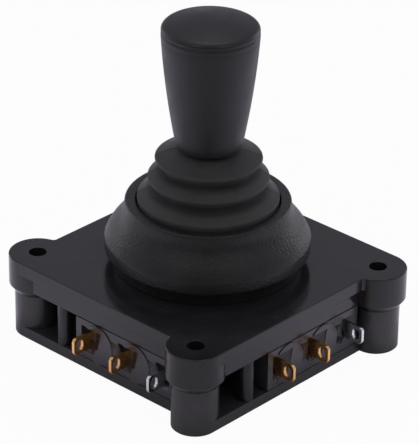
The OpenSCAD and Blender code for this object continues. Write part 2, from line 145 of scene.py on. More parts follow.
def facing_camera(tree, where):
    """How far a direction leans towards the camera, from -1 behind the object to 1 in front."""
    flat = add(tree, "ShaderNodeVectorMath", {0: where, 1: (1, 1, 0)}, operation="MULTIPLY")
    flat = add(tree, "ShaderNodeVectorMath", {0: flat.outputs[0]}, operation="NORMALIZE")
    lean = add(tree, "ShaderNodeVectorMath", {0: flat.outputs[0], 1: TOWARDS_CAMERA},
               operation="DOT_PRODUCT")
    return lean.outputs["Value"]


world = bpy.data.worlds.new("studio_world")
bpy.context.scene.world = world
tree = new_nodes(world)
direction = add(tree, "ShaderNodeTexCoord").outputs["Generated"]
lean = facing_camera(tree, direction)
behind = ramp(tree, lean, -1.0, -0.2, AT_BACK, AT_SIDES)
before = ramp(tree, lean, 0.0, 0.9, AT_SIDES, IN_FRONT)
rise = add(tree, "ShaderNodeSeparateXYZ", {0: direction}).outputs["Z"]
overhead = ramp(tree, rise, 0.75, 0.98, 0.0, OVERHEAD)
strength = maths(tree, "MAXIMUM", maths(tree, "MINIMUM", behind, before), overhead)
rays = add(tree, "ShaderNodeLightPath")
studio_light = add(tree, "ShaderNodeBackground", {"Color": LILAC, "Strength": strength})
backdrop = add(tree, "ShaderNodeBackground", {"Color": grey(1), "Strength": 1.0})
mix = add(tree, "ShaderNodeMixShader", {0: rays.outputs["Is Camera Ray"],
          1: studio_light.outputs[0], 2: backdrop.outputs[0]})
add(tree, "ShaderNodeOutputWorld", {"Surface": mix.outputs[0]})
print("world lit, brightest at the sides with", AT_SIDES)

# %% [markdown]
# ### Floor
# The floor is white paper. Lit by lamps alone it would come out grey and carry a heavy shadow, so
# seen straight on it is mixed with a plain white glow, which keeps the shadow faint. In gloss it
# glows as well, less behind and in front of the object and least beside its foot, because
# the body shades the paper there.

# %% Floor
FLOOR_R, FLOOR_Z = 3.0, -0.02 * MM
PAPER_WHITE, SEEN_GLOW = 0.86, 0.96
GLOW_BACK, GLOW_SIDES, GLOW_FRONT = 0.3, 0.9, 0.15
SHADE, SHADE_FROM, SHADE_TO = 0.15, 0.0222, 0.0272
bpy.ops.object.select_all(action="DESELECT")
bpy.ops.mesh.primitive_circle_add(vertices=96, radius=FLOOR_R, fill_type="NGON", location=(0, 0, FLOOR_Z))
floor = bpy.context.object
floor.name = "studio_floor"
paper = bpy.data.materials.new("studio_paper")
tree = new_nodes(paper)
rays = add(tree, "ShaderNodeLightPath")
white = add(tree, "ShaderNodeBsdfDiffuse", {"Color": grey(PAPER_WHITE)})
tint = blended(tree, rays.outputs["Is Camera Ray"], LILAC, grey(1))
glow = add(tree, "ShaderNodeEmission", {"Color": tint, "Strength": 1.0})
where = add(tree, "ShaderNodeTexCoord").outputs["Object"]
lean = facing_camera(tree, where)
reach = add(tree, "ShaderNodeVectorMath", {0: where}, operation="ABSOLUTE").outputs[0]
reach = add(tree, "ShaderNodeSeparateXYZ", {0: reach})
apart = maths(tree, "MAXIMUM", reach.outputs["X"], reach.outputs["Y"])
shade = ramp(tree, apart, SHADE_FROM, SHADE_TO, SHADE, 1.0)
mirrored = maths(tree, "MINIMUM", ramp(tree, lean, -1.0, -0.3, GLOW_BACK, GLOW_SIDES),
                 ramp(tree, lean, 0.2, 1.0, GLOW_SIDES, GLOW_FRONT))
seen = maths(tree, "MULTIPLY", rays.outputs["Is Camera Ray"], SEEN_GLOW)
caught = maths(tree, "MULTIPLY", rays.outputs["Is Glossy Ray"], maths(tree, "MULTIPLY", mirrored, shade))
mix = add(tree, "ShaderNodeMixShader", {0: maths(tree, "MAXIMUM", seen, caught),
          1: white.outputs[0], 2: glow.outputs[0]})
add(tree, "ShaderNodeOutputMaterial", {"Surface": mix.outputs[0]})
floor.data.materials.append(paper)
print("floor laid")

# %% [markdown]
# ### Soft boxes
# Five rectangular lamps draw the highlights. A tall one on each side, a little behind the object,
# gives knob and bezel their bright edges, one high up behind lights the dome, and two large ones
# in front fill what faces the camera. They could be single points of light, but a point
# leaves a small hard spark on plastic and a soft box leaves a broad even sheen.

# %% Soft boxes
SIDE_BOX, TOP_BOX, FRONT_BOX = (0.22, 0.5), (0.5, 0.5), (0.4, 0.6)


def soft_box(name, bearing, rise, distance, size, power):
    """A rectangular lamp on a bearing about Z, in degrees from -Y towards +X, facing the knob."""
    lamp = bpy.data.lights.new(name, "AREA")
    lamp.shape = "RECTANGLE"
    lamp.size, lamp.size_y = size
    lamp.energy = power
    box = bpy.data.objects.new(name, lamp)
    bpy.context.scene.collection.objects.link(box)
    a, e = math.radians(bearing), math.radians(rise)
    out = Vector((math.sin(a) * math.cos(e), -math.cos(a) * math.cos(e), math.sin(e)))
    box.location = out * distance + Vector((0, 0, 20)) * MM
    box.rotation_euler = out.to_track_quat("Z", "Y").to_euler()


soft_box("box_left", CAMERA_BEARING - 130, 8, 0.9, SIDE_BOX, 0.6)
soft_box("box_right", CAMERA_BEARING + 130, 8, 0.9, SIDE_BOX, 0.8)
soft_box("box_top", CAMERA_BEARING + 180, 72, 1.1, TOP_BOX, 1.0)
soft_box("box_front_left", CAMERA_BEARING - 36, 48, 1.1, FRONT_BOX, 0.85)
soft_box("box_front_right", CAMERA_BEARING + 36, 48, 1.1, FRONT_BOX, 0.85)
print(len(bpy.data.lights), "soft boxes")

# %% [markdown]
# ## Surface effects
# Moulded plastic is never quite smooth. Four effects serve the finishes: a fine grain left by
# the mould, wear along edges, a painted shade line where the lit back half meets the front, and
# dust. Each is a node group, so one change reaches every part.

# %% Effect helpers
def effect(name, inputs, outputs):
    """Starts a shader node group with float inputs (name, default) and float outputs."""
    group = bpy.data.node_groups.new(name, "ShaderNodeTree")
    for label, default in inputs:
        socket = group.interface.new_socket(label, in_out="INPUT", socket_type="NodeSocketFloat")
        socket.default_value = default
    for label in outputs:
        group.interface.new_socket(label, in_out="OUTPUT", socket_type="NodeSocketFloat")
    return group, group.nodes.new("NodeGroupInput"), group.nodes.new("NodeGroupOutput")


def send(group, made, **values):
    """Links values to a group's outputs."""
    for label, socket in values.items():
        group.links.new(socket, made.inputs[label])


def place(tree, group, **inputs):
    """Puts an effect group in a material, with its own values."""
    return add(tree, "ShaderNodeGroup", inputs, node_tree=group)


def own_place(tree):
    """A point's place on its piece, in metres."""
    return add(tree, "ShaderNodeTexCoord").outputs["Object"]


def noise(tree, where, scale, detail, rough=0.5):
    """Cloudy noise with so many features in a metre."""
    return add(tree, "ShaderNodeTexNoise", {"Vector": where, "Scale": scale, "Detail": detail,
               "Roughness": rough}).outputs["Fac"]


# %% Mould grain: small pits over a slow unevenness
mould_grain, given, made = effect("mould_grain", [("Scale", 4000.0), ("Slow", 300.0)], ["Height", "Mottle"])
where = own_place(mould_grain)
send(mould_grain, made, Height=noise(mould_grain, where, given.outputs["Scale"], 3.0, 0.6),
     Mottle=noise(mould_grain, where, given.outputs["Slow"], 2.0))
print("effect", mould_grain.name)

# %% Edge wear: the mesh's own sharp corners, broken up by noise
CHIP_SCALE, WORN_THROUGH = 1500.0, 0.62
edge_wear, given, made = effect("edge_wear", [("Amount", 1.0), ("Start", 0.53)], ["Mask"])
corner = add(edge_wear, "ShaderNodeNewGeometry").outputs["Pointiness"]
sharp = ramp(edge_wear, corner, given.outputs["Start"], WORN_THROUGH, kind="LINEAR")
broken = noise(edge_wear, own_place(edge_wear), CHIP_SCALE, 4.0)
worn = maths(edge_wear, "MULTIPLY", sharp, broken)
send(edge_wear, made, Mask=maths(edge_wear, "MULTIPLY", worn, given.outputs["Amount"], use_clamp=True))
print("effect", edge_wear.name)

# %% Painted shade line: a dark line on the upright plane between the front and back halves, and the half that lies beyond it
CORE_WIDTH, FAR_FADE = 0.04 * MM, 0.3 * MM
mould_line, given, made = effect("mould_line", [("Width", 0.14 * MM)], ["Line", "Far"])
# The Line output is a painted shade line where the lit back half meets the front half; Far only changes gloss.
off = add(mould_line, "ShaderNodeVectorMath", {0: own_place(mould_line), 1: TOWARDS_CAMERA},
          operation="DOT_PRODUCT").outputs["Value"]
apart = maths(mould_line, "ABSOLUTE", off, 0.0)
send(mould_line, made, Line=ramp(mould_line, apart, given.outputs["Width"], CORE_WIDTH, kind="LINEAR"),
     Far=ramp(mould_line, off, 0.0, -FAR_FADE))
print("effect", mould_line.name)

# %% Dust: sparse specks, in patches, on what faces up
dust, given, made = effect("dust", [("Scale", 1400.0), ("Amount", 0.5)], ["Mask"])
where = own_place(dust)
specks = add(dust, "ShaderNodeTexVoronoi", {"Vector": where, "Scale": given.outputs["Scale"],
             "Randomness": 1.0}).outputs["Distance"]
near = ramp(dust, specks, 0.16, 0.08, kind="LINEAR")
few = ramp(dust, noise(dust, where, 500.0, 2.0), 0.58, 0.7, kind="LINEAR")
lie = add(dust, "ShaderNodeSeparateXYZ", {0: add(dust, "ShaderNodeNewGeometry").outputs["Normal"]})
upward = ramp(dust, lie.outputs["Z"], 0.2, 0.8, kind="LINEAR")
fallen = maths(dust, "MULTIPLY", maths(dust, "MULTIPLY", near, few), upward)
send(dust, made, Mask=maths(dust, "MULTIPLY", fallen, given.outputs["Amount"]))
print("effects", [group.name for group in bpy.data.node_groups])

# %% [markdown]
# ## Finishes
# Every black part of the object has its own black. The cover is a polished moulding, the bezel has
# a fine leathery grain, the knob is spark-eroded and the gaiter is dull rubber. Each could be
# built by hand in its own node tree. One function makes them all instead, with the base colour,
# the gloss and the grain as its arguments, so that they stay of one family.

# %% Plastics and rubber
MOTTLE_FROM, MOTTLE_TO = 0.3, 0.7
GLOSS_SPREAD, TONE_SPREAD = 0.06, 0.15
WORN_LIGHTER, WORN_GAIN = 0.04, 1.5
SPECKS, SPECK_COLOUR = 0.3, (0.3, 0.29, 0.28, 1)
LINE_DARK = grey(0.004)


def surface(tree, height, relief, look):
    """Ends a material: a Principled surface with this look, and bumps of so many millimetres."""
    bumps = add(tree, "ShaderNodeBump", {"Height": height, "Strength": 1.0, "Distance": relief * MM})
    body = add(tree, "ShaderNodeBsdfPrincipled", {**look, "Normal": bumps.outputs[0]})
    add(tree, "ShaderNodeOutputMaterial", {"Surface": body.outputs[0]})


def moulded(name, colour, rough, grain=4000.0, bump=0.02, wear=0.3, ior=1.5, far_gloss=0.0):
    """Moulded plastic or rubber: grain in bump and gloss, paler worn edges, a little dust.

    With far_gloss it also paints a dark shade line between the front and back halves, and the half beyond it
    is glossier by that much."""
    material = bpy.data.materials.new(name)
    tree = new_nodes(material)
    skin = place(tree, mould_grain, Scale=grain)
    worn = place(tree, edge_wear, Amount=wear)
    dusty = place(tree, dust, Amount=SPECKS)
    mottle = skin.outputs["Mottle"]
    uneven = ramp(tree, mottle, MOTTLE_FROM, MOTTLE_TO, 1 - TONE_SPREAD, 1 + TONE_SPREAD, "LINEAR")
    tone = blended(tree, 1.0, colour, uneven, "MULTIPLY")
    lighter = tuple(WORN_LIGHTER + WORN_GAIN * part for part in colour[:3]) + (1,)
    edges = blended(tree, worn.outputs["Mask"], tone, lighter)
    specked = blended(tree, dusty.outputs["Mask"], edges, SPECK_COLOUR)
    gloss = ramp(tree, mottle, MOTTLE_FROM, MOTTLE_TO, rough - GLOSS_SPREAD, rough + GLOSS_SPREAD, "LINEAR")
    if far_gloss:
        # Paints a dark shade line where the lit back half meets the front half.
        halves = place(tree, mould_line)
        specked = blended(tree, halves.outputs["Line"], specked, LINE_DARK)
        gloss = maths(tree, "SUBTRACT", gloss, maths(tree, "MULTIPLY", halves.outputs["Far"], far_gloss))
    surface(tree, skin.outputs["Height"], bump, {"Base Color": specked, "IOR": ior, "Roughness": gloss})
    return material


# %% The plastics and the rubber
blacks = {
    "cover_plastic": moulded("cover_black", (0.017, 0.017, 0.018, 1), 0.15,
                             grain=5000.0, bump=0.004, wear=0.15),
    "housing_plastic": moulded("housing_black", (0.038, 0.036, 0.038, 1), 0.24, bump=0.006),
    "bezel_plastic": moulded("bezel_black", (0.0138, 0.0138, 0.0126, 1), 0.36,
                             grain=2500.0, bump=0.11, ior=1.42),
    "knob_plastic": moulded("knob_black", (0.0135, 0.0135, 0.014, 1), 0.4,
                            grain=3600.0, bump=0.025, ior=1.46),
    # The gaiter carries the painted shade line between its front and back halves, and a glossier back half.
    "gaiter_rubber": moulded("gaiter_rubber", (0.052, 0.052, 0.049, 1), 0.6,
                             grain=2600.0, bump=0.03, ior=1.36, far_gloss=0.24),
    "switch_plastic": moulded("switch_black", (0.038, 0.036, 0.04, 1), 0.22, bump=0.008, ior=1.58),
}
colours = {
    "hub_plastic": moulded("hub_acetal", (0.62, 0.61, 0.56, 1), 0.4, grain=3000.0, wear=0.1),
    "plunger_plastic": moulded("plunger_red", (0.42, 0.03, 0.02, 1), 0.35, grain=3000.0, wear=0.1),
}
print(len(blacks) + len(colours), "plastics and rubbers")

# %% [markdown]
# ### Metals
# The solder tabs are stamped brass, flashed with gold or plated with silver, and the hidden works
# are steel and zinc. Bare metal is a mirror with fine scratches, so the colour sits in the
# reflection, the same grain group serves for the brushing, and patches of tarnish are
# only a darker shade of the metal.

# %% Metals
BRUSH, STAIN_SCALE = 6000.0, 700.0
STAIN_FROM, STAIN_TO, STAINED, STAIN_DARK = 0.45, 0.75, 0.3, 0.55
BRUSH_RELIEF = 0.004


def metal(name, colour, rough):
    """Plated or bare metal: brushed gloss, and a darker stain in patches."""
    material = bpy.data.materials.new(name)
    tree = new_nodes(material)
    skin = place(tree, mould_grain, Scale=BRUSH, Slow=STAIN_SCALE)
    stain = ramp(tree, skin.outputs["Mottle"], STAIN_FROM, STAIN_TO, 0.0, STAINED, "LINEAR")
    dull = tuple(STAIN_DARK * part for part in colour[:3]) + (1,)
    tone = blended(tree, stain, colour, dull)
    scratch = skin.outputs["Height"]
    gloss = ramp(tree, scratch, MOTTLE_FROM, MOTTLE_TO, rough - 0.06, rough + 0.08, "LINEAR")
    surface(tree, scratch, BRUSH_RELIEF, {"Base Color": tone, "Metallic": 1.0, "Roughness": gloss})
    return material


metals = {
    "gold_plate": metal("gold_plate", (1.0, 0.56, 0.22, 1), 0.26),
    "silver_plate": metal("silver_plate", (0.86, 0.86, 0.86, 1), 0.2),
    "brass": metal("turned_brass", (0.72, 0.52, 0.24, 1), 0.3),
    "steel": metal("bright_steel", (0.56, 0.57, 0.58, 1), 0.25),
    "zinc": metal("zinc_casting", (0.42, 0.43, 0.45, 1), 0.45),
    "spring_steel": metal("spring_wire", (0.5, 0.5, 0.51, 1), 0.25),
}
print(len(metals), "metals")

# %% One finish for each material slot of the record
finishes = {**blacks, **colours, **metals}
slot_of = {part["node"]: part["material_slot"] for part in frame["record"]["subparts"]}
for node_name, solid in frame["nodes"].items():
    for used in solid.material_slots:
        used.material = finishes[slot_of[node_name]]
print("finished", len(slot_of), "nodes")

# %% [markdown]
# ## Turned parts
# Knob, bezel and gaiter are bodies of revolution. Each could be a cylinder that is scaled ring by
# ring, but a lathe is closer to how their moulds are cut: draw half the section once, then spin
# it. A single vertex is pushed along the section, and the spin carries the line round the axis.

# %% Selecting and shading
def deselect():
    if bpy.context.object and bpy.context.object.mode != "OBJECT":
        bpy.ops.object.mode_set(mode="OBJECT")
    bpy.ops.object.select_all(action="DESELECT")


def only(obj):
    """Leaves one object selected and active."""
    deselect()
    obj.select_set(True)
    bpy.context.view_layer.objects.active = obj


def edit(obj):
    """Opens one object in edit mode with nothing else selected."""
    only(obj)
    bpy.ops.object.mode_set(mode="EDIT")
    bpy.ops.mesh.select_mode(type="VERT")


def modifier(obj, kind, **settings):
    """Adds a modifier and applies it at once."""
    only(obj)
    made = obj.modifiers.new(kind.lower(), kind)
    for key, value in settings.items():
        setattr(made, key, value)
    bpy.ops.object.modifier_apply(modifier=made.name)


def smooth(obj, angle=35):
    only(obj)
    bpy.ops.object.shade_smooth_by_angle(angle=math.radians(angle))


def weighted(obj, angle):
    """Smooths up to an angle, and lets the large faces hold the shading flat."""
    smooth(obj, angle)
    modifier(obj, "WEIGHTED_NORMAL", weight=100, keep_sharp=True)


def finish_as(obj, slot):
    """Gives a piece the finish of a material slot."""
    obj.data.materials.clear()
    obj.data.materials.append(finishes[slot])


# %% A lathe
MERGE = 0.002 * MM


def chain(name, points):
    """Draws a line of edges through points in mm, from one vertex, and stays in edit mode."""
    deselect()
    bpy.ops.mesh.primitive_plane_add(size=MM)
    obj = bpy.context.object
    obj.name = name
    edit(obj)
    bpy.ops.mesh.merge(type="CENTER")
    here = Vector((0, 0, 0))
    for i, point in enumerate(points):
        there = Vector(point) * MM
        if i == 0:
            bpy.ops.transform.translate(value=there - here)
        else:
            bpy.ops.mesh.extrude_vertices_move(TRANSFORM_OT_translate={"value": there - here})
        here = there
    bpy.ops.mesh.select_all(action="SELECT")
    return obj


def turned(name, section, steps=128):
    """Spins a closed section of (radius, height above the plate) in mm about the Z axis."""
    if section[0][0] > 0:
        section = section + section[:1]
    obj = chain(name, [(radius, 0, PLATE_TOP + height) for radius, height in section])
    bpy.ops.mesh.spin(steps=steps, angle=2 * math.pi, center=(0, 0, 0), axis=(0, 0, 1))
    bpy.ops.mesh.select_all(action="SELECT")
    bpy.ops.mesh.remove_doubles(threshold=MERGE)
    bpy.ops.mesh.normals_make_consistent(inside=False)
    smooth(obj)
    return obj


def arc_points(middle, radius, start, end, count):
    """Points along an arc about a middle, from one angle to another in degrees."""
    angles = [math.radians(start + (end - start) * i / count) for i in range(count + 1)]
    return [(middle[0] + radius * math.cos(a), middle[1] + radius * math.sin(a)) for a in angles]


def widest(obj):
    return max(math.hypot(v.co.x, v.co.y) for v in obj.data.vertices) / MM


print("the lathe merges points closer than", MERGE / MM, "mm")

# %% [markdown]
# ### Knob
# A conical grip that swells a little in its flank, with a fine groove under the round shoulder of
# a low dome. Groove and shoulder are only tenths of a millimetre, and they are what
# catches the light, so they are drawn in the section and not left to a bevel.

# %% Knob
FOOT_R, TOP_R, SWELL = 4.95, 7.19, 0.48
FOOT_Z, EDGE_Z, DOME_Z = 19.1, 36.4, 39.4
FOOT_BEVEL, FLANK_STEPS = 0.3, 14
SHAFT_R, SHAFT_TOP, NECK_R, NECK_TOP = 3.02, 33.0, 3.9, 21.9
flank = []
for i in range(FLANK_STEPS + 1):
    f = i / FLANK_STEPS
    flank.append((FOOT_R + (TOP_R - FOOT_R) * (f + SWELL * f * (1 - f)),
                  FOOT_Z + FOOT_BEVEL + (EDGE_Z - FOOT_Z - FOOT_BEVEL) * f))
inside = [(0, SHAFT_TOP), (SHAFT_R, SHAFT_TOP), (SHAFT_R, NECK_TOP), (NECK_R, NECK_TOP), (NECK_R, FOOT_Z)]
foot = [(4.7, FOOT_Z), (4.88, FOOT_Z + 0.1)]
groove = [(7.17, 36.48), (7.2, 36.55), (7.2, 37.1), (7.16, 37.2), (7.08, 37.26), (7.07, 37.36)]
shoulder = [(7.17, 37.45), (7.2, 37.6), (7.17, 37.8), (7.08, 37.98), (6.93, 38.14), (6.73, 38.27),
            (6.45, 38.38)]
dome = [(5.8, 38.54), (5.0, 38.75), (4.0, 38.98), (3.0, 39.17), (2.0, 39.3), (1.0, 39.38), (0, DOME_Z)]
knob = turned("knob_grip", inside + foot + flank + groove + shoulder + dome)
finish_as(knob, "knob_plastic")
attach(knob, "lever")
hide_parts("knob")
print("knob", round(widest(knob), 2), "mm radius")

# %% [markdown]
# ### Bezel
# The flared ring stands on the cover and holds the gaiter's flange down. Its belt is upright with
# a crisp edge above and below, it stands on a narrower foot that stays in the dark, and the rim
# on top is a flat band with a soft edge. A cylinder with bevels would give every edge
# the same round, so each edge is drawn in the section with its own.

# %% Bezel
inside = [(10.73, 1.17), (11.88, 1.17), (11.88, 5.4), (12.2, 6.6), (14.05, 3.9), (14.05, 3.2),
          (13.02, 1.8), (13.02, 0.02)]
foot = [(13.9, 0.02), (13.98, 0.1), (14.0, 1.85), (14.12, 2.06)]
belt = [(15.12, 2.27), (15.3, 2.36), (15.36, 2.5), (15.37, 2.7), (15.37, 4.15), (15.35, 4.3), (15.28, 4.46)]
flank = [(15.07, 4.9), (14.77, 5.43), (14.43, 5.96), (14.0, 6.5), (13.55, 7.03), (13.1, 7.6),
         (12.78, 8.1), (12.56, 8.6), (12.45, 9.1)]
rim = [(12.4, 9.7), (12.37, 10.02), (12.3, 10.17), (12.2, 10.26), (12.05, 10.3), (10.98, 10.3),
       (10.82, 10.25), (10.75, 10.15), (10.73, 10.0)]
bezel = turned("bezel_flare", inside + foot + belt + flank + rim)
finish_as(bezel, "bezel_plastic")
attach(bezel, "housing")
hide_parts("bezel_ring")
print("bezel", round(widest(bezel), 2), "mm radius")

# %% [markdown]
# ### Gaiter
# The rubber boot has to follow a lever that tilts two ways, and one blend only crosses one joint.
# It is made in two lengths that meet in the valley under the lower ring.

# %% The gaiter's two rings
LOWER_RING, UPPER_RING = (9.02, 14.0), (7.96, 17.1)
LIP = 0.34
MEET = (7.38, 12.5)
MEET_IN = (6.72, 12.3)


def under_ring(tip):
    """The hollow below a ring: in from the fold's outer side, round its bottom, out to the lip."""
    bottom = [(-0.12, -2.05), (-0.5, -1.98), (-1.1, -1.84), (-1.45, -1.7), (-1.62, -1.5), (-1.72, -1.2),
              (-1.7, -0.95), (-1.55, -0.8), (-1.2, -0.68), (-0.8, -0.52)]
    return [(tip[0] + x, tip[1] + z) for x, z in bottom]


def ring(tip):
    """A ring's thin round lip."""
    return arc_points((tip[0] - LIP, tip[1] - 0.02), LIP, -72, 62, 7)


print("rings", LOWER_RING[0], "and", UPPER_RING[0], "mm radius")

# %% Gaiter
flange = [(9.85, 0.05), (11.98, 0.05), (11.98, 1.1), (10.55, 1.14)]
wall = [(10.55, 4.0), (10.55, 8.0), (10.55, 10.5), (10.54, 10.86), (10.5, 10.98), (10.42, 11.05)]
cone = [(10.3, 11.1), (9.95, 11.33), (9.4, 11.68), (8.98, 11.92)]
lower_inside = [MEET_IN, (7.0, 11.8), (7.6, 11.35), (8.6, 11.0), (9.5, 10.5), (9.85, 10.0), (9.85, 5.0)]
lower = turned("gaiter_lower", flange + wall + cone + under_ring(LOWER_RING)[1:4] + [MEET] + lower_inside)
over_lower = [(8.62, 14.44), (8.2, 14.72), (7.88, 14.94)]
neck = [(7.5, 17.46), (6.6, 17.86), (5.6, 18.25), (4.65, 18.5), (3.9, 18.72), (3.6, 19.0), (3.6, 21.4)]
upper_inside = [(2.3, 21.4), (2.3, 18.4), (4.4, 17.75), (5.6, 17.3), (6.3, 16.85), (5.55, 16.3),
                (5.5, 15.6), (6.2, 14.9), (7.3, 13.9), (6.6, 13.2)]
upper = turned("gaiter_upper", [MEET_IN, MEET] + under_ring(LOWER_RING)[5:] + ring(LOWER_RING) + over_lower
               + under_ring(UPPER_RING)[1:] + ring(UPPER_RING) + neck + upper_inside)
for piece in (lower, upper):
    finish_as(piece, "gaiter_rubber")
    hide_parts("gaiter")


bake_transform(lower)
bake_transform(upper)
print("gaiter", round(widest(lower), 2), "mm radius")

# %% [markdown]
# ### Return spring
# A coil around the shaft, with one closed turn at each end. Like the gaiter it is wound in two
# lengths. A small circle is screwed round the axis, turn by turn.

# %% A wound coil
WIRE_R, COIL_R = 0.38, 4.6
WIRE_SIDES, TURN_STEPS = 10, 28


def joined(name, parts):
    """Makes several objects one."""
    only(parts[0])
    for part in parts:
        part.select_set(True)
    bpy.ops.object.join()
    parts[0].name = name
    return parts[0]


def coil(name, runs):
    """Winds wire in runs of (start height in mm, turns, rise of a turn), end to end."""
    parts = []
    for start, turns, rise in runs:
        deselect()
        bpy.ops.mesh.primitive_circle_add(vertices=WIRE_SIDES, radius=WIRE_R * MM,
                                          rotation=(math.pi / 2, 0, 0),
                                          location=(COIL_R * MM, 0, start * MM))
        bpy.ops.object.transform_apply(location=True, rotation=True, scale=False)
        parts.append(bpy.context.object)
        modifier(parts[-1], "SCREW", angle=2 * math.pi * turns, screw_offset=rise * turns * MM,
                 steps=TURN_STEPS * turns, render_steps=TURN_STEPS * turns, axis="Z")
    wire = joined(name, parts)
    edit(wire)
    bpy.ops.mesh.select_all(action="SELECT")
    bpy.ops.mesh.remove_doubles(threshold=0.005 * MM)
    bpy.ops.mesh.fill_holes(sides=0)
    bpy.ops.mesh.select_all(action="SELECT")
    bpy.ops.mesh.normals_make_consistent(inside=False)
    smooth(wire, 50)
    finish_as(wire, "spring_steel")
    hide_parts("return_spring")
    return wire


print("wire", 2 * WIRE_R, "mm thick")

# %% Return spring
CLOSED_RISE, OPEN_RISE = 0.836, 1.382
SPRING_FOOT = PLATE_TOP + 4.402
middle = SPRING_FOOT + CLOSED_RISE + OPEN_RISE
spring_lower = coil("spring_lower", [(SPRING_FOOT, 1, CLOSED_RISE), (SPRING_FOOT + CLOSED_RISE, 1, OPEN_RISE)])
spring_upper = coil("spring_upper", [(middle, 3, OPEN_RISE), (middle + 3 * OPEN_RISE, 1, CLOSED_RISE)])
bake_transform(spring_lower)
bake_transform(spring_upper)
print("spring", len(spring_lower.data.polygons), len(spring_upper.data.polygons), "faces")

# %% [markdown]
# ## Cover
# The cover is one moulding: a square plate with four ears, a skirt below it, a collar inside and
# a peg near the left end of each side. The plate is drawn as an outline, one side turned four
# times, and pushed up. Its edges are rounded before the holes are cut, so that the rounds stay even.

# %% Cover sizes
HOLE_PITCH, POST_R, EAR_R, FILLET_R = 36.0, 3.5, 4.36, 0.5
HALF = (POST_R + math.sqrt(HOLE_PITCH ** 2 - POST_R ** 2)) / 2
POST_X = HALF - POST_R
PLATE_HALF = POST_X + EAR_R
PLATE_T, SKIRT_H, CASE_H = 2.1, 2.85, 6.4
PLATE_UNDER = PLATE_TOP - PLATE_T
SKIRT_END = PLATE_UNDER - SKIRT_H
EAR_END = SKIRT_END - 1.05
LEDGE = SKIRT_END - CASE_H
SKIRT_T, PEG_X, PEG_R = 1.5, 11.5, 1.15
HOLE_R, SPIGOT_R, PIN_HOLE_R = 1.35, 2.55, 0.85
COLLAR_R, COLLAR_OUT, COLLAR_RISE = 6.485, 8.485, 3.302
PLATE_ROUND, SKIRT_ROUND, HOLE_ROUND = 0.15, 0.25, 0.13
SINK = 0.1
print("cover plate", round(2 * PLATE_HALF, 2), "mm square without its ears")

# %% Outlines and slabs
def quarter(point, times):
    """Turns a point in the plan by quarter turns about the middle."""
    x, y = point
    for _ in range(times):
        x, y = -y, x
    return x, y


def square(half):
    return [(half, -half), (half, half), (-half, half), (-half, -half)]


def slab(name, outline, low, high):
    """Draws a closed outline as a chain of edges, fills it and pushes it up."""
    obj = chain(name, [(x, y, low) for x, y in outline])
    bpy.ops.mesh.edge_face_add()
    bpy.ops.mesh.extrude_region_move(TRANSFORM_OT_translate={"value": (0, 0, (high - low) * MM)})
    bpy.ops.mesh.select_all(action="SELECT")
    bpy.ops.mesh.normals_make_consistent(inside=False)
    deselect()
    return obj


# %% Rounds and cuts
def round_level(obj, level, width):
    """Rounds every sharp edge that lies at one height."""
    edit(obj)
    bpy.ops.mesh.select_mode(type="EDGE")
    bpy.ops.mesh.select_all(action="DESELECT")
    bpy.ops.mesh.edges_select_sharp(sharpness=math.radians(40))
    bpy.ops.object.mode_set(mode="OBJECT")
    points = obj.data.vertices
    for edge in obj.data.edges:
        edge.select = edge.select and all(abs(points[i].co.z / MM - level) < 0.01 for i in edge.vertices)
    bpy.ops.object.mode_set(mode="EDIT")
    bpy.ops.mesh.bevel(offset=width * MM, segments=3, affect="EDGES", clamp_overlap=False)
    deselect()


def shift(obj, x, y):
    edit(obj)
    bpy.ops.mesh.select_all(action="SELECT")
    bpy.ops.transform.translate(value=(x * MM, y * MM, 0))
    deselect()


def cut(obj, tool, keep=False):
    """Subtracts one solid from another and throws the tool away, unless it is kept."""
    modifier(obj, "BOOLEAN", operation="DIFFERENCE", object=tool, solver="EXACT")
    if not keep:
        bpy.data.objects.remove(tool)


def from_plate(section):
    """Changes heights above the underside into heights above the plate."""
    return [(radius, height - PLATE_TOP) for radius, height in section]


# %% Plate
def cover_outline():
    """On each side a small fillet, then the ear's arc, a hair inside the drum that forms the ear."""
    drop = PLATE_HALF + FILLET_R - HALF
    reach = math.sqrt((EAR_R + FILLET_R) ** 2 - drop ** 2)
    touch = math.degrees(math.atan2(drop, reach))
    one_side = arc_points((POST_X - reach, -PLATE_HALF - FILLET_R), FILLET_R, 90, touch, 5)
    one_side += arc_points((POST_X, -HALF), EAR_R - 0.015, 180 + touch, 360, 34)[1:]
    return [quarter(point, k) for k in range(4) for point in one_side]


plate = slab("plate", cover_outline(), PLATE_UNDER, PLATE_TOP)
round_level(plate, PLATE_TOP, PLATE_ROUND)
print("plate", len(plate.data.polygons), "faces")

# %% Skirt
skirt = slab("skirt", square(HALF), SKIRT_END, PLATE_UNDER + SINK)
hollow = slab("hollow", square(HALF - SKIRT_T), SKIRT_END - 1, PLATE_UNDER + 1)
cut(skirt, hollow)
round_level(skirt, SKIRT_END, SKIRT_ROUND)
print("skirt", len(skirt.data.polygons), "faces")

# %% [markdown]
# ### Holes, ears and pegs
# Each corner has a drum that forms the ear and a hole for a screw, wider below, where the post's
# spigot enters. The drill takes the whole stepped hole and a hair of chamfer in one cut.
# One corner is made and repeated at each quarter turn, since the cover looks the same from
# all four sides.

